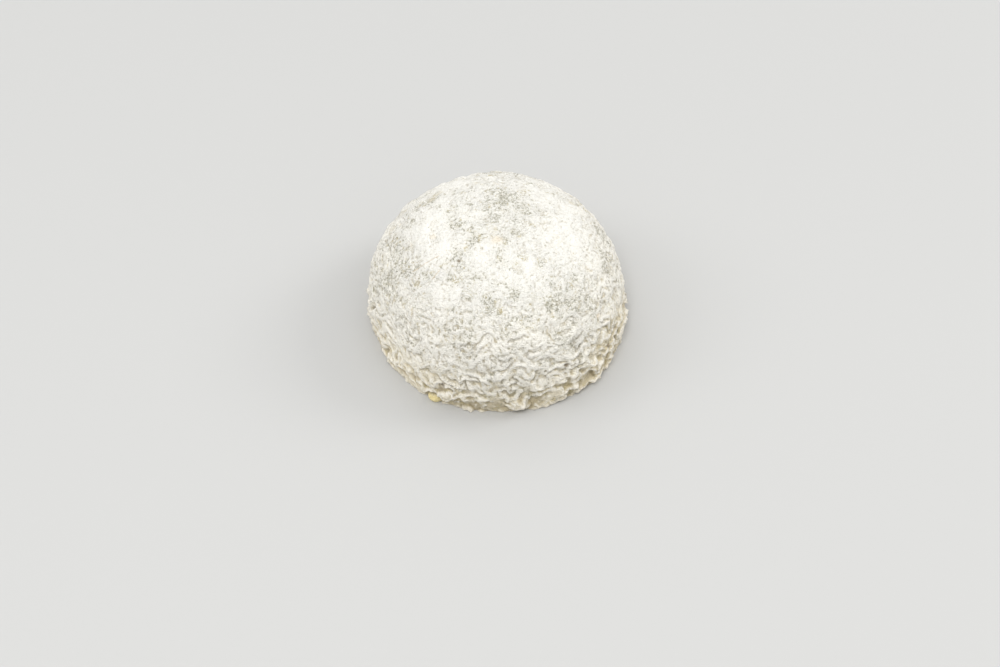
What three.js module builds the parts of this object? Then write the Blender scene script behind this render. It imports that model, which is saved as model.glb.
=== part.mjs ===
// A small ash-coated goat cheese, ripened into a dome with a wrinkled rind.
// Units are millimetres, +Z is up, and the origin is the middle of the flat foot.
// The whole cheese is one solid. Its rind has outgrown the core and buckled into crests
// that wander round the dome: broad and deep on the skirt, low and close on the crown.
import * as THREE from "three";
import { mergeVertices } from "three/addons/utils/BufferGeometryUtils.js";

// Driving dimensions of the smooth dome
const WIDTH = 90.5;
const HEIGHT = 48.5;
const FOOT_WIDTH = 89;
const BELLY_LEVEL = 7;
const SHOULDER_POWER = 2.5;
const OVAL_SHARE = 0.026;
const OVAL_ANGLE = THREE.MathUtils.degToRad(-67);

// Slow unevenness of the whole form, the sideways wander of every crest,
// and how many waves make each and how far their lengths spread
const LUMP_LENGTH = 42;
const LUMP_RISE = 0.3;
const WANDER_LENGTH = 9;
const WANDER_SHIFT = 0.9;
const PATCH_LENGTH = 16;
const PATCH_SHARE = 0.3;
const SLOW_WAVES = 12;
const SLOW_SPREAD = 0.25;

// Crests of the rind: their spacing up the dome, how far they are drawn out round it,
// their rise, their sharpness, and the levels at which they are whole and at their least
const SKIRT_FOLDS = { spacing: 6.5, drawn: 2.2, rise: 1.2, sharpness: 1.6, whole: 4, least: 15, rest: 0 };
const MIDDLE_FOLDS = { spacing: 4, drawn: 2, rise: 0.9, sharpness: 1.4, whole: 11, least: 36, rest: 0.2 };
const FOLD_WAVES = 36;
const FOLD_SPREAD = 0.3;
const FOLD_GATHER = 0.3;

// A dried bead of whey at the foot
const BEAD = { turn: THREE.MathUtils.degToRad(238.5), level: 1.4, reach: 1.7, rise: 1.3 };

// The surface is made of rings, each with one more step to every quadrant than the last,
// and the rings lie closer together the nearer they are to the foot
const RINGS = 54;
const RING_GATHER = 0.3;
const OUTLINE_STEPS = 800;
const FOOT_STEPS = 100;
const SAME_POINT = 1e-5;
const SEED = 20297;

// A repeatable source of numbers from 0 to 1
function numberSource(seed) {
  let state = seed;
  return () => {
    state = (state * 1664525 + 1013904223) % 4294967296;
    return state / 4294967296;
  };
}

const nextNumber = numberSource(SEED);

// Plane waves of about one length, with the part of their direction round the dome drawn out
function waveTrain(length, drawn, spread, count) {
  const waves = [];
  for (let i = 0; i < count; i++) {
    const rise = nextNumber();
    const turn = 2 * Math.PI * nextNumber();
    const level = Math.sqrt(1 - rise * rise) / drawn;
    const pitch = ((2 * Math.PI) / length) * (1 + spread * (2 * nextNumber() - 1));
    const direction = new THREE.Vector3(level * Math.cos(turn), level * Math.sin(turn), rise);
    waves.push({ direction: direction.multiplyScalar(pitch), phase: 2 * Math.PI * nextNumber() });
  }
  return waves;
}

// A smooth uneven value, mostly from -1.5 to 1.5
function unevenness(length) {
  const waves = waveTrain(length, 1, SLOW_SPREAD, SLOW_WAVES);
  return (point) => {
    let sum = 0;
    for (const wave of waves) sum += Math.sin(wave.direction.dot(point) + wave.phase);
    return sum * Math.sqrt(2 / SLOW_WAVES);
  };
}

// The rise of one set of crests: the waves' shared phase gives crests of even height
function crests(folds) {
  const waves = waveTrain(folds.spacing, folds.drawn, FOLD_SPREAD, FOLD_WAVES);
  return (point, level) => {
    let across = 0;
    let along = 0;
    for (const wave of waves) {
      const phase = wave.direction.dot(point) + wave.phase;
      across += Math.cos(phase);
      along += Math.sin(phase);
    }
    const strength = Math.hypot(across, along);
    const gather = Math.min(strength / Math.sqrt(FOLD_WAVES) / FOLD_GATHER, 1);
    const crest = (0.5 + (0.5 * across) / strength) ** folds.sharpness;
    const fade = 1 - THREE.MathUtils.smoothstep(level, folds.whole, folds.least);
    return folds.rise * gather * crest * (folds.rest + (1 - folds.rest) * fade);
  };
}

// Points of the smooth outline as radius and level, from the crown to the belly to the foot
function outlinePoints() {
  const points = [];
  for (let i = 0; i <= OUTLINE_STEPS; i++) {
    const angle = (1 - i / OUTLINE_STEPS) * (Math.PI / 2);
    points.push(new THREE.Vector2(
      (WIDTH / 2) * Math.cos(angle) ** (2 / SHOULDER_POWER),
      BELLY_LEVEL + (HEIGHT - BELLY_LEVEL) * Math.sin(angle) ** (2 / SHOULDER_POWER),
    ));
  }
  for (let i = 1; i <= FOOT_STEPS; i++) {
    const angle = (i / FOOT_STEPS) * (Math.PI / 2);
    points.push(new THREE.Vector2(
      FOOT_WIDTH / 2 + ((WIDTH - FOOT_WIDTH) / 2) * Math.cos(angle),
      BELLY_LEVEL * (1 - Math.sin(angle)),
    ));
  }
  return points;
}

// The outline's point at each ring, with the way out from it
function outlineRings() {
  const points = outlinePoints();
  const lengths = [0];
  for (let i = 1; i < points.length; i++) {
    lengths.push(lengths[i - 1] + points[i].distanceTo(points[i - 1]));
  }
  const rings = [];
  for (let ring = 0, i = 1; ring <= RINGS; ring++) {
    const down = ring / RINGS;
    const target = down * (1 + RING_GATHER * (1 - down)) * lengths[lengths.length - 1];
    while (i < points.length - 1 && lengths[i] < target) i++;
    const share = (target - lengths[i - 1]) / (lengths[i] - lengths[i - 1]);
    const at = points[i - 1].clone().lerp(points[i], share);
    const run = points[i].clone().sub(points[i - 1]).normalize();
    const out = at.y > BELLY_LEVEL ? new THREE.Vector2(-run.y, run.x) : new THREE.Vector2(1, 0);
    rings.push({ radius: at.x, level: at.y, out });
  }
  return rings;
}

// The height of the rind over the smooth dome
function makeRelief() {
  const lump = unevenness(LUMP_LENGTH);
  const wander = [1, 2, 3].map(() => unevenness(WANDER_LENGTH));
  const patch = unevenness(PATCH_LENGTH);
  const skirt = crests(SKIRT_FOLDS);
  const middle = crests(MIDDLE_FOLDS);
  const beadAt = new THREE.Vector3(
    (FOOT_WIDTH / 2) * Math.cos(BEAD.turn),
    (FOOT_WIDTH / 2) * Math.sin(BEAD.turn),
    BEAD.level,
  );
  return (point) => {
    const shift = new THREE.Vector3(...wander.map((field) => field(point)));
    const moved = point.clone().addScaledVector(shift, WANDER_SHIFT);
    const low = middle(moved, point.z) * (1 + PATCH_SHARE * patch(point));
    const bead = Math.exp(-point.distanceToSquared(beadAt) / BEAD.reach ** 2);
    return LUMP_RISE * lump(point)
      + skirt(moved, point.z) + low
      + BEAD.rise * bead;
  };
}

// Lays the upper half of a finely divided octahedron over the dome, ring by ring
function layRind() {
  const octahedron = new THREE.OctahedronGeometry(1, RINGS - 1);
  octahedron.deleteAttribute("normal");
  octahedron.deleteAttribute("uv");
  const geometry = mergeVertices(octahedron, SAME_POINT);
  const source = geometry.getAttribute("position");
  const outline = outlineRings();
  const relief = makeRelief();
  const vertices = new Map();
  for (let i = 0; i < source.count; i++) {
    const point = new THREE.Vector3().fromBufferAttribute(source, i);
    point.divideScalar(Math.abs(point.x) + Math.abs(point.y) + Math.abs(point.z));
    const ring = Math.round((1 - point.z) * RINGS);
    if (ring > RINGS) continue;
    const step = Math.round(Math.abs(point.y) * RINGS) / Math.max(ring, 1);
    const inQuadrant = (step * Math.PI) / 2;
    const ahead = Math.sign(point.x) * Math.cos(inQuadrant);
    const aside = Math.sign(point.y) * Math.sin(inQuadrant);
    const turn = Math.atan2(aside, ahead);
    const { radius, level, out } = outline[ring];
    const oval = radius * (1 + OVAL_SHARE * Math.cos(2 * (turn - OVAL_ANGLE)));
    const smooth = new THREE.Vector3(oval * Math.cos(turn), oval * Math.sin(turn), level);
    const way = new THREE.Vector3(out.x * Math.cos(turn), out.x * Math.sin(turn), out.y);
    smooth.addScaledVector(way, relief(smooth));
    vertices.set(i, { ring, position: smooth });
  }
  return { vertices, index: geometry.getIndex().array };
}

// The closed solid: the rind's faces, and the flat foot as a fan about its middle
function cheeseGeometry() {
  const { vertices, index } = layRind();
  const numbers = new Map();
  const values = [0, 0, 0];
  for (const [corner, vertex] of vertices) {
    numbers.set(corner, values.length / 3);
    values.push(...vertex.position.toArray());
  }
  const faces = [];
  for (let i = 0; i < index.length; i += 3) {
    const face = [index[i], index[i + 1], index[i + 2]];
    if (!face.every((corner) => vertices.has(corner))) continue;
    faces.push(...face.map((corner) => numbers.get(corner)));
    for (let side = 0; side < 3; side++) {
      const from = face[side];
      const to = face[(side + 1) % 3];
      const onFoot = vertices.get(from).ring === RINGS && vertices.get(to).ring === RINGS;
      if (onFoot) faces.push(numbers.get(to), numbers.get(from), 0);
    }
  }
  const geometry = new THREE.BufferGeometry();
  geometry.setAttribute("position", new THREE.Float32BufferAttribute(values, 3));
  geometry.setIndex(faces);
  geometry.computeVertexNormals();
  return geometry;
}

const rind = new THREE.MeshStandardMaterial({ color: 0xe9e6da, roughness: 0.85, metalness: 0 });
const cheese = new THREE.Mesh(cheeseGeometry(), rind);
cheese.name = "goat_cheese_dome";

const group = new THREE.Group();
group.add(cheese);

export default group;
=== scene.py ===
"""An ash-coated goat cheese dome: its wrinkled rind in full detail, lit as on a studio table."""

import math

import bmesh
import bpy
import numpy as np
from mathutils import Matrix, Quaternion, Vector


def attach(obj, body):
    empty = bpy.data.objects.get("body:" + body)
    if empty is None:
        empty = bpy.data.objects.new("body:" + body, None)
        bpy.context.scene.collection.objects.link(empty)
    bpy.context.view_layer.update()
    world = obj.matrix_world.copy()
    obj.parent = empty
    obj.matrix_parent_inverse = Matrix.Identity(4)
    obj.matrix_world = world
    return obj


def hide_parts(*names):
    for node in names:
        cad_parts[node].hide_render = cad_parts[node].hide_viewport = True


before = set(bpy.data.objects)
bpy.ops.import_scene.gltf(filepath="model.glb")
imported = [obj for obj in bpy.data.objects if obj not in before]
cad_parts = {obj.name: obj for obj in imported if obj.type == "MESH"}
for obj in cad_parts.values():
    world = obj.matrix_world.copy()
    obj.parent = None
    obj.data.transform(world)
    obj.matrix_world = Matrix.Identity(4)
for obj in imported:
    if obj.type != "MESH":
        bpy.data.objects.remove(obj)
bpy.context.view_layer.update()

MM = 0.001

# The smooth dome, in millimetres, as the solid has it
WIDTH = 90.5
HEIGHT = 48.5
FOOT_WIDTH = 89
BELLY_LEVEL = 7
SHOULDER_POWER = 2.5
OVAL_SHARE = 0.026
OVAL_ANGLE = math.radians(-67)

# Slow unevenness and the wander of the crests
LUMP_LENGTH = 42
LUMP_RISE = 0.3
WANDER_LENGTH = 9
WANDER_SHIFT = 0.9
PATCH_LENGTH = 16
PATCH_SHARE = 0.3

# Crests of the rind: their spacing up the dome, how far they are drawn out round it,
# and their rise by level. The skirt's and the middle's follow the solid's folds.
SKIRT_FOLDS = dict(spacing=6.5, drawn=2.2, rises=((0, 1.5), (5, 2.1), (15, 0)))
MIDDLE_FOLDS = dict(spacing=4, drawn=2, rises=((0, 0.6), (6, 1.6), (15, 1.5), (27, 0.5), (36, 0.14)))
CLOSE_FOLDS = dict(
    spacing=2.3, drawn=1.3, rises=((0, 0.45), (8, 0.45), (16, 0.6), (28, 0.55), (42, 0.15)),
)
FINE_FOLDS = dict(spacing=1.4, drawn=1.0, rises=((0, 0.05), (12, 0.1), (26, 0.28), (49, 0.22)))
FOLD_WAVES = 36
FOLD_SPREAD = 0.3
FOLD_GATHER = 0.3
SLOW_WAVES = 12
SLOW_SPREAD = 0.25

# What is taken off each profile, as a share of its rise, so that the folds stand about the dome
SKIRT_SINK = 0.3
MIDDLE_THIN_SINK = 0.1
MIDDLE_ROUND_SINK = 0.35
CLOSE_SINK = 0.6
FINE_SINK = 0.6
# The middle's folds are thin below these levels and round above them
THIN_LEVELS = (10, 18)
# A smaller wander, which eases between these levels
TWIST_LENGTH = 3.5
TWIST_SHIFT = 0.45
TWIST_EASE = 0.25
TWIST_LEVELS = (10, 20)
CLOSE_PATCH_LENGTH = 8
CLOSE_PATCH_SHARE = 0.35

# Smooth places beside the ones set by hand, and the levels over which all of them come in
SMOOTH_PATCH_LENGTH = 13
SMOOTH_PATCH_STRENGTH = 0.6
CALM_LEVELS = (20, 36)
# How much the calm takes off the fine folds, and the quiet off the skirt's and the middle's
CALM_FINE = 0.6
QUIET_SKIRT = 0.75
QUIET_MIDDLE = 0.3

# The skirt spreads a little at the very foot, and the upper dome has soft swells
FOOT_FLARE = 0.5
FLARE_LEVELS = (0.5, 5)
SWELL_LENGTH = 7.5
SWELL_RISE = 0.15
SWELL_LEVELS = (10, 28)

# The dried bead of whey at the foot, longer round the dome than it is high, and how much of
# the folds is left on it, out to some way past its edge
BEAD_TURN = math.radians(238.5)
BEAD_LEVEL = 1.4
BEAD_REACH = 1.7
BEAD_LENGTH = 2.7
BEAD_RISE = 2.3
BEAD_FOLDS = 0.25
BEAD_CLEARANCE = (0.9, 1.6)

OUTLINE_STEPS = 800
FOOT_STEPS = 100
SEED = 20297

# Quads along half a side of the cube that the dome is blown up from
HALF_SIDE = 84
# How far out each ring of the underside lies as a share of the rim, from the rim inwards
FOOT_RINGS = (0.985, 0.955, 0.91, 0.85, 0.77, 0.68, 0.58, 0.47, 0.35, 0.22, 0.09)
# Points of the cube below this level are underneath, and hold their ring's share as their
# level, lowered by the drop
BELOW_RIM = -1e-4
RING_DROP = 2
FOOT_DENT = 0.35
FOOT_DENT_LENGTH = 9
FOOT_DENT_MARGIN = 0.2
ASH_PATCH_LENGTH = 11
ASH_PATCH_STRENGTH = 0.45
# A wave texture's scale that draws the mat's lines about 3.5 mm apart
MAT_SCALE = 90
# How often the rise is averaged with its neighbours for each measure of depth, and the span
# in millimetres over which that measure goes from 0 to 1
CREASE_STEPS, CREASE_SPAN = 4, 0.6
HOLLOW_STEPS, HOLLOW_SPAN = 14, 0.7
DENT_STEPS, DENT_SPAN = 70, 1.8


def number_source(seed):
    """A repeatable source of numbers from 0 to 1."""
    state = seed
    while True:
        state = (state * 1664525 + 1013904223) % 4294967296
        yield state / 4294967296


NUMBERS = number_source(SEED)


def wave_train(length, drawn, spread, count):
    """Plane waves of about one length, drawn out round the dome, as vectors and phases."""
    directions, phases = [], []
    for _ in range(count):
        rise = next(NUMBERS)
        turn = 2 * math.pi * next(NUMBERS)
        level = math.sqrt(1 - rise * rise) / drawn
        pitch = 2 * math.pi / length * (1 + spread * (2 * next(NUMBERS) - 1))
        direction = [level * math.cos(turn), level * math.sin(turn), rise]
        directions.append([part * pitch for part in direction])
        phases.append(2 * math.pi * next(NUMBERS))
    return np.array(directions), np.array(phases)


def unevenness(length):
    """A smooth uneven value at each point, mostly from -1.5 to 1.5."""
    directions, phases = wave_train(length, 1, SLOW_SPREAD, SLOW_WAVES)
    return lambda points: np.sin(points @ directions.T + phases).sum(1) * math.sqrt(2 / SLOW_WAVES)


def smoothstep(value, low, high):
    """0 below low, 1 above high, and a smooth rise between."""
    share = np.clip((value - low) / (high - low), 0, 1)
    return share * share * (3 - 2 * share)


def crests(folds):
    """How near each point is to a crest, from -1 to 1, and how firmly the crests gather there."""
    directions, phases = wave_train(folds["spacing"], folds["drawn"], FOLD_SPREAD, FOLD_WAVES)

    def gathered_crests(points):
        phase = points @ directions.T + phases
        across, along = np.cos(phase).sum(1), np.sin(phase).sum(1)
        strength = np.hypot(across, along)
        gather = np.minimum(strength / math.sqrt(FOLD_WAVES) / FOLD_GATHER, 1)
        return across / strength, gather

    return gathered_crests


def thin_crests(nearness):
    """Narrow crests over broad dents."""
    return 1 - np.sqrt(np.maximum(0.5 - 0.5 * nearness, 0))


def round_crests(nearness):
    """Rounded crests with narrow creases between them."""
    return np.sqrt(np.maximum(0.5 + 0.5 * nearness, 0))


def rise_at(level, folds):
    """How high one set of folds stands at each level."""
    levels, rises = zip(*folds["rises"])
    return np.interp(level, levels, rises)


class Outline:
    """The smooth dome's outline, from the crown to the belly to the foot."""

    def __init__(self):
        angle = (1 - np.arange(OUTLINE_STEPS + 1) / OUTLINE_STEPS) * math.pi / 2
        tuck = np.arange(1, FOOT_STEPS + 1) / FOOT_STEPS * math.pi / 2
        shoulder = 2 / SHOULDER_POWER
        self.radius = np.concatenate([
            WIDTH / 2 * np.cos(angle) ** shoulder,
            FOOT_WIDTH / 2 + (WIDTH - FOOT_WIDTH) / 2 * np.cos(tuck),
        ])
        self.level = np.concatenate([
            BELLY_LEVEL + (HEIGHT - BELLY_LEVEL) * np.sin(angle) ** shoulder,
            BELLY_LEVEL * (1 - np.sin(tuck)),
        ])
        steps = np.hypot(np.diff(self.radius), np.diff(self.level))
        self.length = np.concatenate([[0], np.cumsum(steps)])
        run_out = np.gradient(self.radius, self.length)
        run_up = np.gradient(self.level, self.length)
        above = self.level > BELLY_LEVEL
        self.out = np.where(above, -run_up, 1)
        self.up = np.where(above, run_out, 0)

    def at(self, share):
        """Radius, level, and the way out and up, at a share of the way down."""
        place = share * self.length[-1]
        lines = (self.radius, self.level, self.out, self.up)
        return [np.interp(place, self.length, line) for line in lines]


OUTLINE = Outline()


def on_dome(turn, share):
    """Points of the smooth dome and the way out from it, round by turn and down by share."""
    radius, level, out, up = OUTLINE.at(share)
    oval = radius * (1 + OVAL_SHARE * np.cos(2 * (turn - OVAL_ANGLE)))
    points = np.stack([oval * np.cos(turn), oval * np.sin(turn), level], -1)
    ways = np.stack([out * np.cos(turn), out * np.sin(turn), up], -1)
    return points, ways


def spot(turn_degrees, share):
    """A place on the smooth dome, in millimetres."""
    return on_dome(math.radians(turn_degrees), share)[0]


def near(points, middle, reach):
    """1 at a place, falling softly to 0 beyond its reach."""
    return np.exp(-((points - middle) ** 2).sum(1) / reach ** 2)


def marks(points, places):
    """The strongest of several soft marks: each a turn, a share down, a reach and a strength."""
    strongest = np.zeros(len(points))
    for turn, share, reach, strength in places:
        strongest = np.maximum(strongest, strength * near(points, spot(turn, share), reach))
    return strongest


# Where the ash shows through, where the bloom lies thick and calm, where the skirt's folds
# are quieter, and the tawny, yellow and dark marks: a turn in degrees, a share of the way
# from crown to foot, a reach in millimetres, a strength
ASH_PATCHES = (
    (68, 0.15, 8, 0.95), (160, 0.19, 8, 0.65), (20, 0.15, 8, 0.7), (-167, 0.6, 7, 1),
    (-45, 0.55, 4.5, 0.8), (135, 0.343, 5, 0.75), (146, 0.37, 4, 0.75), (165, 0.388, 5, 0.5),
    (121, 0.043, 5, 0.7), (180, 0.135, 3.5, 0.6), (-121, 0.133, 3, 0.55), (-134, 0.24, 2.5, 0.7),
    (-43, 0.46, 3, 0.8), (-168, 0.54, 3.5, 1.2), (-176, 0.5, 8, 0.8), (-158, 0.48, 6, 0.7),
    (-172, 0.72, 7, 0.7), (-79, 0.37, 4, 0.8), (-108, 0.6, 6, 0.5), (-46, 0.7, 5, 0.7),
    (-143, 0.7, 5, 0.5), (-118, 0.338, 4, 0.6), (70, 0.5, 8, 0.9), (135, 0.62, 7, 0.8),
    (10, 0.6, 6, 0.7), (100, 0.75, 6, 0.7),
)
CALM_PATCHES = (
    (172, 0.29, 8, 1), (-85, 0.23, 8, 0.4), (-8, 0.36, 12, 0.85), (-150, 0.28, 6, 0.8),
    (-60, 0.3, 6, 0.6), (120, 0.38, 9, 0.8), (50, 0.3, 8, 0.6),
)
QUIET_PLACES = ((-143, 0.9, 15, 0.75), (108, 0.92, 12, 0.6))
TAWNY_PATCHES = (
    (-30, 0.86, 12, 1.3), (-48, 0.94, 9, 0.9), (-166, 0.9, 7, 0.5), (-122, 0.84, 6, 0.5),
    (-92, 0.96, 7, 0.6), (60, 0.85, 9, 0.8), (130, 0.9, 10, 0.8), (0, 0.92, 8, 0.6),
    (180, 0.86, 8, 0.6), (95, 0.93, 9, 0.6), (-174, 0.395, 3, 0.6), (-147, 0.468, 2.5, 0.6),
    (-158, 0.662, 2.2, 0.7), (132.5, 0.362, 4, 0.5), (102.5, 0.29, 1.6, 0.7),
    (85.5, 0.268, 1.6, 0.7), (-84, 0.058, 2.2, 0.6), (141, 0.355, 2.5, 0.9),
    (-17.5, 0.307, 2.5, 0.5), (-31.5, 0.615, 3.5, 0.5), (30, 0.45, 2.5, 0.6),
    (75, 0.62, 3, 0.6), (160, 0.55, 3, 0.5),
)
YELLOW_SPOTS = (
    (-83, 0.11, 2.6, 0.9), (-171, 0.283, 1.5, 0.8), (-35.5, 0.672, 1.1, 1), (-92, 0.12, 1.5, 0.6),
    (-32, 0.62, 2.2, 0.5), (150, 0.5, 1.6, 0.8), (60, 0.7, 2, 0.8),
)
PITS = (
    (-128, 0.265, 0.8, 0.8), (-60, 0.787, 1.2, 1), (-116.5, 0.868, 1.2, 1), (-147, 0.355, 0.5, 0.5),
    (-70, 0.772, 0.7, 0.7), (-83.5, 0.777, 0.7, 0.7), (-35, 0.86, 1.2, 0.8), (-110, 0.16, 0.5, 0.5),
    (80, 0.8, 1.1, 1), (30, 0.74, 0.9, 0.8), (140, 0.84, 1, 0.9), (-170, 0.8, 1, 0.8),
)
PIT_DEPTH = 0.7
# Two straw-like lines, each from one turn and share to another
STRAW_WIDTH = 0.3
STRAW_MARKS = (((-153.5, 0.445), (-147, 0.302)), ((-137.5, 0.403), (-136.5, 0.343)))


# The numbers are drawn in this order: the solid's own relief first, as the solid draws it,
# and then what only the finished rind has
lump = unevenness(LUMP_LENGTH)
wander = [unevenness(WANDER_LENGTH) for _ in range(3)]
patch = unevenness(PATCH_LENGTH)
skirt = crests(SKIRT_FOLDS)
middle = crests(MIDDLE_FOLDS)
close = crests(CLOSE_FOLDS)
fine = crests(FINE_FOLDS)
close_wander = [unevenness(TWIST_LENGTH) for _ in range(3)]
close_patch = unevenness(CLOSE_PATCH_LENGTH)
smooth_patch = unevenness(SMOOTH_PATCH_LENGTH)
ash_patch = unevenness(ASH_PATCH_LENGTH)
foot_dents = unevenness(FOOT_DENT_LENGTH)
swells = unevenness(SWELL_LENGTH)


def divided_cube():
    """A finely divided cube with its lower half cut away, and rings below it for the underside."""
    bm = bmesh.new()
    bmesh.ops.create_cube(bm, size=2)
    bmesh.ops.subdivide_edges(bm, edges=bm.edges[:], cuts=2 * HALF_SIDE - 1, use_grid_fill=True)
    lower = [vert for vert in bm.verts if vert.co.z < BELOW_RIM]
    bmesh.ops.delete(bm, geom=lower, context="VERTS")
    rim = [edge for edge in bm.edges if edge.is_boundary]
    for share in FOOT_RINGS:
        grown = bmesh.ops.extrude_edge_only(bm, edges=rim)["geom"]
        rim = [item for item in grown if isinstance(item, bmesh.types.BMEdge)]
        ring = [item for item in grown if isinstance(item, bmesh.types.BMVert)]
        for vert in ring:
            vert.co.z = share - RING_DROP
    bmesh.ops.contextual_create(bm, geom=rim)
    return bm


def vertex_places(mesh):
    """The mesh's points, one row each."""
    places = np.zeros(len(mesh.vertices) * 3)
    mesh.vertices.foreach_get("co", places)
    return places.reshape(-1, 3)


def neighbour_mean(values, edges, valence):
    """Each vertex's mean over its neighbours."""
    total = np.bincount(edges[:, 0], values[edges[:, 1]], len(values))
    total += np.bincount(edges[:, 1], values[edges[:, 0]], len(values))
    return total / valence


def set_attribute(mesh, name, values):
    """Keeps a value at each point, for the material to read."""
    layer = mesh.attributes.new(name, "FLOAT", "POINT")
    layer.data.foreach_set("value", values.astype(np.float32))


def depth_share(depth, span, under):
    """How deep each place lies: 0 on a crest, 0.5 level with its mean and underneath, 1 in a crease."""
    return np.where(under, 0.5, np.clip(0.5 + depth / span, 0, 1))


def calm_and_quiet(smooth):
    """Where the rind lies calm, from 0 to 1, and where the skirt's folds are quieter."""
    patches = SMOOTH_PATCH_STRENGTH * smoothstep(smooth_patch(smooth), 0.4, 1.3)
    calm = np.maximum(marks(smooth, CALM_PATCHES), patches)
    quiet = marks(smooth, QUIET_PLACES)
    return np.maximum(calm * smoothstep(smooth[:, 2], *CALM_LEVELS), quiet), quiet


def folds_rise(smooth, calm, quiet):
    """The rise of all four sets of folds over the smooth dome."""
    level = smooth[:, 2]
    moved = smooth + WANDER_SHIFT * np.stack([field(smooth) for field in wander], 1)
    twist = (TWIST_SHIFT - TWIST_EASE * smoothstep(level, *TWIST_LEVELS))[:, None]
    twisted = moved + twist * np.stack([field(smooth) for field in close_wander], 1)

    nearness, gather = skirt(twisted)
    skirt_rise = rise_at(level, SKIRT_FOLDS) * (thin_crests(nearness) - SKIRT_SINK) * gather
    skirt_rise *= 1 - QUIET_SKIRT * quiet
    skirt_rise += FOOT_FLARE * (1 - smoothstep(level, *FLARE_LEVELS))

    nearness, gather = middle(twisted)
    thin = 1 - smoothstep(level, *THIN_LEVELS)
    form = thin * (thin_crests(nearness) - MIDDLE_THIN_SINK)
    form += (1 - thin) * (round_crests(nearness) - MIDDLE_ROUND_SINK)
    middle_rise = rise_at(level, MIDDLE_FOLDS) * (1 + PATCH_SHARE * patch(smooth)) * form * gather
    middle_rise *= 1 - QUIET_MIDDLE * quiet

    nearness, gather = close(twisted)
    close_rise = rise_at(level, CLOSE_FOLDS) * (1 + CLOSE_PATCH_SHARE * close_patch(smooth))
    close_rise *= (round_crests(nearness) - CLOSE_SINK) * gather

    nearness, gather = fine(twisted)
    fine_rise = rise_at(level, FINE_FOLDS) * (round_crests(nearness) - FINE_SINK) * gather
    fine_rise *= 1 - CALM_FINE * calm
    return skirt_rise + middle_rise + close_rise + fine_rise


def distance_from_bead(smooth):
    """How far each place is from the bead's middle, 1 at its edge all round."""
    out = np.array([math.cos(BEAD_TURN), math.sin(BEAD_TURN), 0])
    run = np.array([-out[1], out[0], 0])
    away = smooth - (FOOT_WIDTH / 2 * out + (0, 0, BEAD_LEVEL))
    away -= (1 - BEAD_REACH / BEAD_LENGTH) * (away @ run)[:, None] * run
    return np.linalg.norm(away, axis=1) / BEAD_REACH


def set_depths(mesh, rise, under):
    """Measures how deep each place lies at three scales, against an ever wider mean."""
    edges = np.zeros(len(mesh.edges) * 2, int)
    mesh.edges.foreach_get("vertices", edges)
    edges = edges.reshape(-1, 2)
    valence = np.bincount(edges.ravel(), minlength=len(rise))
    measures = {
        CREASE_STEPS: ("crease", CREASE_SPAN),
        HOLLOW_STEPS: ("hollow", HOLLOW_SPAN),
        DENT_STEPS: ("dent", DENT_SPAN),
    }
    around = rise
    for step in range(1, DENT_STEPS + 1):
        around = neighbour_mean(around, edges, valence)
        if step in measures:
            name, span = measures[step]
            set_attribute(mesh, name, depth_share(around - rise, span, under))


def make_cheese():
    """The whole cheese as one closed mesh, with the values that its rind is coloured by."""
    bm = divided_cube()
    mesh = bpy.data.meshes.new("cheese")
    bm.to_mesh(mesh)
    bm.free()
    cube = vertex_places(mesh)
    under = cube[:, 2] < BELOW_RIM
    foot_share = np.where(under, cube[:, 2] + RING_DROP, 1)
    ball = np.tan(np.where(under[:, None], cube * (1, 1, 0), cube) * math.pi / 4)
    ball /= np.linalg.norm(ball, axis=1)[:, None]
    turn = np.arctan2(ball[:, 1], ball[:, 0])
    down = np.arccos(np.clip(ball[:, 2], 0, 1)) / (math.pi / 2)
    smooth, way = on_dome(turn, down)

    calm, quiet = calm_and_quiet(smooth)
    off_bead = distance_from_bead(smooth)
    bead = np.sqrt(np.clip(1 - off_bead ** 2, 0, 1))
    pit = marks(smooth, PITS)
    beside_bead = BEAD_FOLDS + (1 - BEAD_FOLDS) * smoothstep(off_bead, *BEAD_CLEARANCE)
    swell_rise = SWELL_RISE * swells(smooth) * smoothstep(smooth[:, 2], *SWELL_LEVELS)
    rise = LUMP_RISE * lump(smooth) + swell_rise + folds_rise(smooth, calm, quiet) * beside_bead
    rise += BEAD_RISE * bead
    rise -= PIT_DEPTH * pit
    places = smooth + way * rise[:, None]

    # The underside follows the rim inwards, with shallow dents that stay above the table
    places[under, :2] *= foot_share[under, None]
    inward = 1 - foot_share
    sunk = FOOT_DENT * (0.5 + 0.5 * np.tanh(foot_dents(places)))
    places[:, 2] += np.where(under, sunk * smoothstep(inward, 0, FOOT_DENT_MARGIN), 0)
    mesh.vertices.foreach_set("co", (places * MM).astype(np.float32).ravel())

    # The crease, hollow and dent depths steer the rind's painted shade and its painted highlight on the
    # crests
    set_depths(mesh, rise, under)
    # Underneath, the marks are read at the place itself, and elsewhere on the smooth dome
    at = np.where(under[:, None], places, smooth)
    scattered = ASH_PATCH_STRENGTH * smoothstep(ash_patch(at), -0.2, 1.4)
    set_attribute(mesh, "ash", np.maximum(marks(at, ASH_PATCHES), scattered))
    set_attribute(mesh, "calm", np.where(under, 0, calm))
    set_attribute(mesh, "pit", np.where(under, 0, pit))
    set_attribute(mesh, "tawny", marks(at, TAWNY_PATCHES))
    set_attribute(mesh, "yellow", marks(at, YELLOW_SPOTS))
    set_attribute(mesh, "bead", np.where(under, 0, smoothstep(bead, 0.1, 0.4)))
    set_attribute(mesh, "under", under.astype(float))
    mesh.shade_smooth()
    mesh.update()
    cheese = bpy.data.objects.new("cheese", mesh)
    bpy.context.collection.objects.link(cheese)
    return cheese


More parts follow.
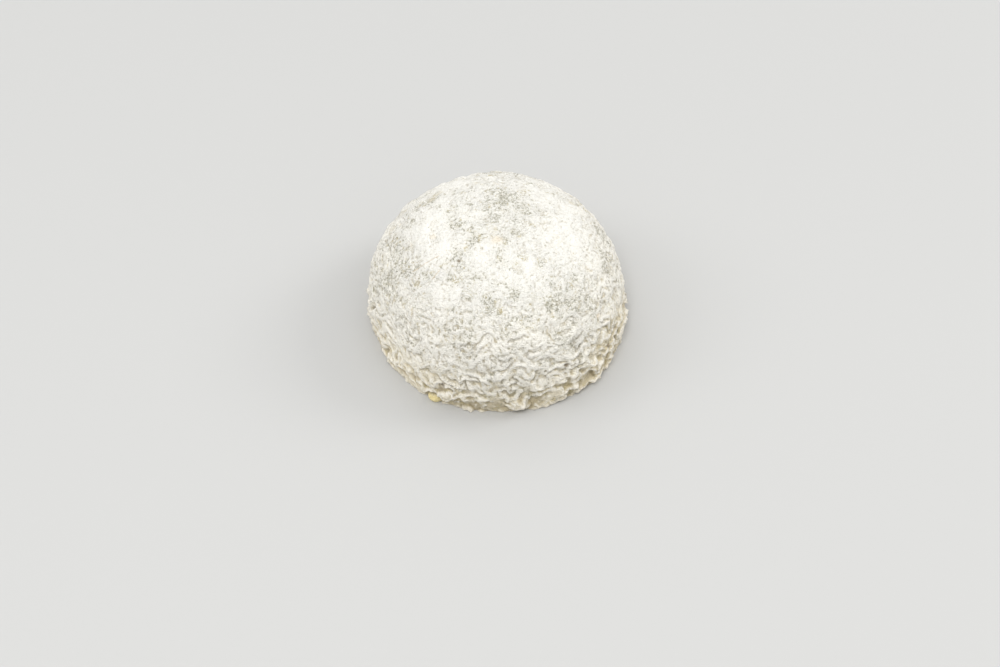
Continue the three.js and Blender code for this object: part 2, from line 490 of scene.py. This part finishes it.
class Value:
    """A shader socket that takes part in sums."""

    def __init__(self, shader, socket):
        self.shader = shader
        self.socket = socket

    def _maths(self, operation, *values):
        return self.shader.node("ShaderNodeMath", {"operation": operation}, dict(enumerate(values)))

    def __add__(self, other):
        return self._maths("ADD", self, other)

    def __radd__(self, other):
        return self._maths("ADD", other, self)

    def __sub__(self, other):
        return self._maths("SUBTRACT", self, other)

    def __rsub__(self, other):
        return self._maths("SUBTRACT", other, self)

    def __mul__(self, other):
        return self._maths("MULTIPLY", self, other)

    def __rmul__(self, other):
        return self._maths("MULTIPLY", other, self)

    def __truediv__(self, other):
        return self._maths("DIVIDE", self, other)

    def __rtruediv__(self, other):
        return self._maths("DIVIDE", other, self)

    def least(self, other):
        return self._maths("MINIMUM", self, other)

    def size(self):
        return self._maths("ABSOLUTE", self)

    def step(self, low, high):
        """0 below low, 1 above high, and a smooth rise between."""
        return self.shader.node(
            "ShaderNodeMapRange",
            {"interpolation_type": "SMOOTHSTEP"},
            {"Value": self, "From Min": low, "From Max": high},
        )


class Shader:
    """A material's nodes, written as sums and calls."""

    def __init__(self, name):
        self.material = bpy.data.materials.new(name)
        self.material.use_nodes = True
        self.tree = self.material.node_tree
        self.finish = self.tree.nodes["Principled BSDF"]

    def node(self, kind, settings, sockets, output=0):
        made = self.tree.nodes.new(kind)
        for key, value in settings.items():
            setattr(made, key, value)
        self.fill(made, sockets)
        return Value(self, made.outputs[output])

    def fill(self, node, sockets):
        for key, value in sockets.items():
            if isinstance(value, Value):
                self.tree.links.new(value.socket, node.inputs[key])
            else:
                node.inputs[key].default_value = value

    def blend(self, share, first, second):
        """A mix of two colours by a share from 0 to 1."""
        return self.node(
            "ShaderNodeMix",
            {"data_type": "RGBA", "clamp_factor": True},
            {0: share, 6: rgba(first), 7: rgba(second)},
            2,
        )

    def measure(self, operation, first, second):
        """A length or a product of two vectors, as a number."""
        return self.node(
            "ShaderNodeVectorMath", {"operation": operation}, {0: first, 1: second}, "Value",
        )

    def attribute(self, name):
        return self.node("ShaderNodeAttribute", {"attribute_name": name}, {}, "Fac")

    def noise(self, place, length, detail=2.0, roughness=0.5):
        """Uneven values from 0 to 1, with forms about as long as given in millimetres."""
        return self.node(
            "ShaderNodeTexNoise",
            {"noise_dimensions": "3D"},
            {"Vector": place, "Scale": 1 / (length * MM), "Detail": detail, "Roughness": roughness},
            "Fac",
        )


def rgba(colour):
    """A plain colour with its alpha, or a shader's own value as it is."""
    return colour if isinstance(colour, Value) else (*colour, 1)


# The rind's colours, as linear red, green and blue; the shade colours and the darker top crest are
# painted shade
CREST = (0.95, 0.92, 0.84)
LOW_CREST = (0.95, 0.905, 0.80)
# Painted shade: the top crest is darker to offset the strong light on the crown
TOP_CREST_SHADED = (0.885, 0.867, 0.81)
# Painted shade for the hollows, higher up and at the foot
HOLLOW_SHADE = (0.68, 0.64, 0.54)
LOW_HOLLOW_SHADE = (0.58, 0.51, 0.37)
VEIL = (0.70, 0.685, 0.575)
# Real specks, and painted shade in the bump's low places
SPECK_AND_PORE_SHADE = (0.56, 0.52, 0.41)
FLECK = (0.305, 0.285, 0.20)
OCHRE = (0.53, 0.455, 0.265)
CREAM = (0.88, 0.81, 0.655)
TAWNY = (0.65, 0.555, 0.345)
TAN = (0.78, 0.67, 0.44)
# Painted shade in the creases
CREASE_SHADE = (0.22, 0.165, 0.085)
FOOT_CREAM = (0.84, 0.79, 0.65)
FOOT_TAN = (0.62, 0.54, 0.38)
OLIVE = (0.64, 0.56, 0.32)
# Painted shade in the dents at the foot
DENT_SHADE = (0.47, 0.395, 0.25)
WHEY = (0.80, 0.68, 0.35)
YELLOW = (0.93, 0.83, 0.68)
STRAW = (0.60, 0.46, 0.28)
BROWN = (0.20, 0.15, 0.085)

# How deep the fine grain and crinkles of the bump stand, in millimetres
BUMP_DEPTH = 0.25


def line_mask(shader, place, start, end, width):
    """1 along a thin straight line between two places on the rind."""
    start, end = spot(*start), spot(*end)
    middle = (start + end) / 2
    side = np.cross(end - start, middle)
    side /= np.linalg.norm(side)
    across = shader.measure("DOT_PRODUCT", place, side) / MM - float(middle @ side)
    away = shader.measure("DISTANCE", place, middle * MM) / MM
    half = float(np.linalg.norm(end - start)) / 2
    return (1 - across.size().step(width * 0.2, width)) * (1 - away.step(half * 0.9, half * 1.1))


def rind_material():
    shader = Shader("ash_rind")
    place = shader.node("ShaderNodeTexCoord", {}, {}, "Object")
    level = shader.node("ShaderNodeSeparateXYZ", {}, {0: place}, "Z") / MM
    hollow = shader.attribute("hollow")
    crease = shader.attribute("crease")
    dent = shader.attribute("dent")
    ash = shader.attribute("ash")
    bead = shader.attribute("bead")
    calm = shader.attribute("calm")
    pit = shader.attribute("pit")
    under = shader.attribute("under")
    tawny = shader.attribute("tawny")
    yellow = shader.attribute("yellow")
    down = shader.noise(place, 0.35, 2, 0.6)
    grit = shader.noise(place, 0.6, 1, 0.5)
    grain = shader.noise(place, 0.9, 2, 0.5)
    cloud = shader.noise(place, 7, 2, 0.5)
    tint = shader.noise(place, 3.2, 2, 0.5)
    # Thin crinkles run where a slow unevenness passes through its middle, and fade at the skirt
    crinkle = 1 - ((shader.noise(place, 1.15, 1.5, 0.5) - 0.5).size() / 0.095).least(1)
    crinkle = crinkle * (level.step(0, 14) * 0.6 + 0.4)
    height = (crinkle * 0.8 + (grit - 0.5) * 2.6 + (down - 0.5) * 1.4) * (1 - calm * 0.4 + ash * 0.15)

    # The foot bears the soft print of the mat that it drained on
    print_lines = shader.node(
        "ShaderNodeTexWave",
        {"wave_type": "BANDS", "bands_direction": "X"},
        {"Vector": place, "Scale": MAT_SCALE, "Distortion": 3.5, "Detail": 1.0, "Detail Scale": 0.7},
        "Fac",
    ).step(0.1, 0.7)
    height = height + under * print_lines * 1.5

    # The bloom, with a veil where the ash shows through it, and painted shade at the crown, where the
    # bloom is set darker against the strong light there
    low = 1 - level.step(6, 24)
    bloom = shader.blend(level.step(5, 22), LOW_CREST, CREST)
    bloom = shader.blend(level.step(30, 44), bloom, TOP_CREST_SHADED)
    patchy = shader.noise(place, 5, 2, 0.6)
    veil = (ash * 1.2 + (tint - 0.5) * 1.4 + (grit - 0.5) * 1.5).step(0.3, 1.3)
    veil = veil * (0.62 - level.step(32, 44) * 0.24)
    veil = veil + (patchy * 0.6 + grain * 0.4 - calm * 0.15).step(0.4, 0.62) * 0.3
    veil = (veil + calm * low * 0.75).least(1)
    colour = shader.blend(veil, bloom, VEIL)

    # The skirt is creamier, with tawny patches
    skirt_share = 1 - level.step(2, 26)
    cream = skirt_share * (cloud.step(0.3, 0.6) * 0.6 + 0.4)
    colour = shader.blend(cream * 0.9, colour, CREAM)
    colour = shader.blend((tawny + (tint - 0.5)).step(0.15, 1) * 0.75, colour, TAWNY)
    # Painted shade in the skirt's broad dents
    colour = shader.blend(dent.step(0.5, 0.9) * skirt_share * 0.5, colour, LOW_HOLLOW_SHADE)

    # Painted shade: hollows and pores, the bump's low places, are darker, and most of all at the foot;
    # tan and olive tints gather in hollows and creases
    shade = shader.blend(low, HOLLOW_SHADE, LOW_HOLLOW_SHADE)
    # Painted shade, deeper the deeper the hollow
    depth = (hollow + (grain - 0.5) * 0.4).step(0.45, 1)
    colour = shader.blend(depth * 0.7, colour, shade)
    # The bump's low places are painted darker: shade for the fine relief, with real specks among them
    pore_specks_and_shade = (0.2 - height).step(0, 1.3)
    colour = shader.blend(pore_specks_and_shade * (ash * 0.5 + 0.8), colour, SPECK_AND_PORE_SHADE)
    # Painted shade in the dents at the foot, lighter where the rind lies calm
    foot_shade = (dent.step(0.38, 0.8) * 0.6 + 0.3) * (1 - level.step(3, 11)) * (1 - calm * 0.5)
    colour = shader.blend(foot_shade, colour, DENT_SHADE)
    tan = shader.noise(place, 2.4, 2, 0.5).step(0.5, 0.68) * hollow.step(0.42, 0.7)
    tan = tan * (1 - level.step(30, 46))
    colour = shader.blend(tan * 0.45, colour, TAN)
    olive = skirt_share * tint.step(0.45, 0.65) * crease.step(0.5, 0.8) * 0.6
    colour = shader.blend(olive, colour, OLIVE)

    # Painted highlight on the crests, and painted shade in the creases, dark and broken; the raised
    # crinkle lines go back to the bloom's colour
    sharp = (crease - 0.5) * (level.step(12, 30) * 1.5 + 1)
    # Painted highlight along the thin crests
    edge = (0 - sharp).step(0, 0.35) * (level.step(0, 6) * 0.4 + 0.45)
    colour = shader.blend(edge, colour, bloom)
    # Painted shade in the creases, broken up by the grain and stronger at the foot
    broken = grain.step(0.35, 0.62) * 0.8 + 0.2
    colour = shader.blend(sharp.step(0.1, 0.5) * (low * 0.22 + 0.3) * broken, colour, CREASE_SHADE)
    wire = crinkle.step(0.45, 0.9) * level.step(8, 22) * (ash * 0.6 + 0.4)
    colour = shader.blend(wire, colour, bloom)

    # Flecks and thin curls of bare ash, gathered in places
    gathered = (patchy * 1.35 + ash * 0.35 - calm * 0.3 - 0.53).step(0, 0.47)
    dark = shader.blend((shader.noise(place, 3, 1, 0.5) - ash * 0.1).step(0.45, 0.62), FLECK, OCHRE)
    flecks = ((grit + grain) * 0.5 + gathered * 0.09 - 0.035 + (tint - 0.5) * 0.2).step(0.58, 0.67)
    colour = shader.blend(flecks * hollow.step(0.3, 0.6) * 0.85, colour, dark)
    curls = 1 - ((shader.noise(place, 1.7, 1, 0.5) - 0.5).size() / 0.06).least(1)
    curls = curls * (gathered + (down + grain - 1) * 1.5 - 0.35).step(0, 0.5)
    curls = curls * (level.step(18, 38) * 0.75 + 0.25)
    colour = shader.blend(curls * 0.88, colour, dark)

    # The marks that stand out
    colour = shader.blend((yellow * (tint + grit)).step(0.2, 1) * 0.8, colour, YELLOW)
    for start, end in STRAW_MARKS:
        line = line_mask(shader, place, start, end, STRAW_WIDTH)
        colour = shader.blend(line * (down.step(0.35, 0.55) * 0.5 + 0.15), colour, STRAW)
    colour = shader.blend(pit.step(0.25, 0.8) * 0.8, colour, BROWN)
    colour = shader.blend(bead, colour, WHEY)

    # The underside is mottled between the lines of the mat, with patches of painted shade in the
    # grooves between its raised lines
    foot = shader.blend((cloud * 0.6 + tint * 0.4).step(0.4, 0.6), FOOT_TAN, FOOT_CREAM)
    foot = shader.blend((1 - print_lines) * patchy.step(0.38, 0.6) * 0.45, foot, LOW_HOLLOW_SHADE)
    foot = shader.blend((grain * 0.6 + grit * 0.4).step(0.5, 0.62) * 0.5, foot, SPECK_AND_PORE_SHADE)
    foot = shader.blend(crinkle, foot, CREST)
    colour = shader.blend(under * 0.9, colour, foot)

    bump = shader.node(
        "ShaderNodeBump",
        {},
        {"Strength": 1.0, "Distance": BUMP_DEPTH * MM, "Height": height},
    )
    shader.fill(shader.finish, {
        "Base Color": colour,
        "Roughness": 0.92 - bead * 0.4,
        "Sheen Weight": 0.2,
        "Sheen Roughness": 0.5,
        "Specular IOR Level": 0.3,
        "Normal": bump,
    })
    return shader.material


# The room, in metres
FLOOR_HALF_SIDE = 2.5
FLOOR_GREY = (0.52, 0.52, 0.51)
WORLD_STRENGTH = 0.85


def floor_material():
    shader = Shader("studio_floor")
    shader.fill(shader.finish, {"Base Color": rgba(FLOOR_GREY), "Roughness": 0.6})
    return shader.material


def make_floor():
    bm = bmesh.new()
    bmesh.ops.create_grid(bm, x_segments=1, y_segments=1, size=FLOOR_HALF_SIDE)
    mesh = bpy.data.meshes.new("studio_floor")
    bm.to_mesh(mesh)
    bm.free()
    mesh.materials.append(floor_material())
    floor = bpy.data.objects.new("studio_floor", mesh)
    bpy.context.collection.objects.link(floor)
    return floor


def make_light(name, place, size, power, colour=(1, 1, 1)):
    """A square area light that points at the cheese's foot."""
    light = bpy.data.lights.new(name, "AREA")
    light.size = size
    light.energy = power
    light.color = colour
    lamp = bpy.data.objects.new(name, light)
    lamp.location = place
    lamp.rotation_mode = "QUATERNION"
    lamp.rotation_quaternion = (-Vector(place)).to_track_quat("-Z", "Y")
    bpy.context.collection.objects.link(lamp)


def make_room():
    world = bpy.data.worlds.new("studio")
    world.use_nodes = True
    background = world.node_tree.nodes["Background"]
    background.inputs["Color"].default_value = (1, 1, 1, 1)
    background.inputs["Strength"].default_value = WORLD_STRENGTH
    bpy.context.scene.world = world
    make_light("key", place=(-0.3, 0.8, 1.0), size=0.45, power=1.0, colour=(1, 0.995, 0.98))
    make_light("front", place=(-0.15, -0.65, 1.2), size=0.4, power=5.6)
    make_light("right", place=(1.1, 0.2, 0.9), size=0.6, power=6.0)
    make_light("left", place=(-1.1, 0.0, 0.9), size=0.6, power=3.0)


# The camera stands as the photograph's did: metres, and pixels of the photograph
CAMERA_ELEVATION = math.radians(47.6)
CAMERA_ROLL = math.radians(2.8)
CAMERA_DISTANCE = 1.022
FOCAL_PIXELS = 2840
SENSOR_WIDTH = 36
PICTURE_WIDTH = 1000
PICTURE_HEIGHT = 667
FOOT_PIXEL = (497.6, 315.6)


def make_camera():
    camera = bpy.data.cameras.new("camera")
    camera.sensor_width = SENSOR_WIDTH
    camera.lens = FOCAL_PIXELS * SENSOR_WIDTH / PICTURE_WIDTH
    camera.shift_x = (PICTURE_WIDTH / 2 - FOOT_PIXEL[0]) / PICTURE_WIDTH
    camera.shift_y = (FOOT_PIXEL[1] - PICTURE_HEIGHT / 2) / PICTURE_WIDTH
    eye = bpy.data.objects.new("camera", camera)
    forward = Vector((0, math.cos(CAMERA_ELEVATION), -math.sin(CAMERA_ELEVATION)))
    eye.location = -forward * CAMERA_DISTANCE
    eye.rotation_mode = "QUATERNION"
    eye.rotation_quaternion = forward.to_track_quat("-Z", "Y") @ Quaternion((0, 0, 1), -CAMERA_ROLL)
    bpy.context.collection.objects.link(eye)
    bpy.context.scene.camera = eye


cheese = make_cheese()
cheese.data.materials.append(rind_material())
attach(cheese, "root")
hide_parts("goat_cheese_dome")
make_floor()
make_room()
make_camera()
bpy.context.scene.view_settings.view_transform = "Standard"
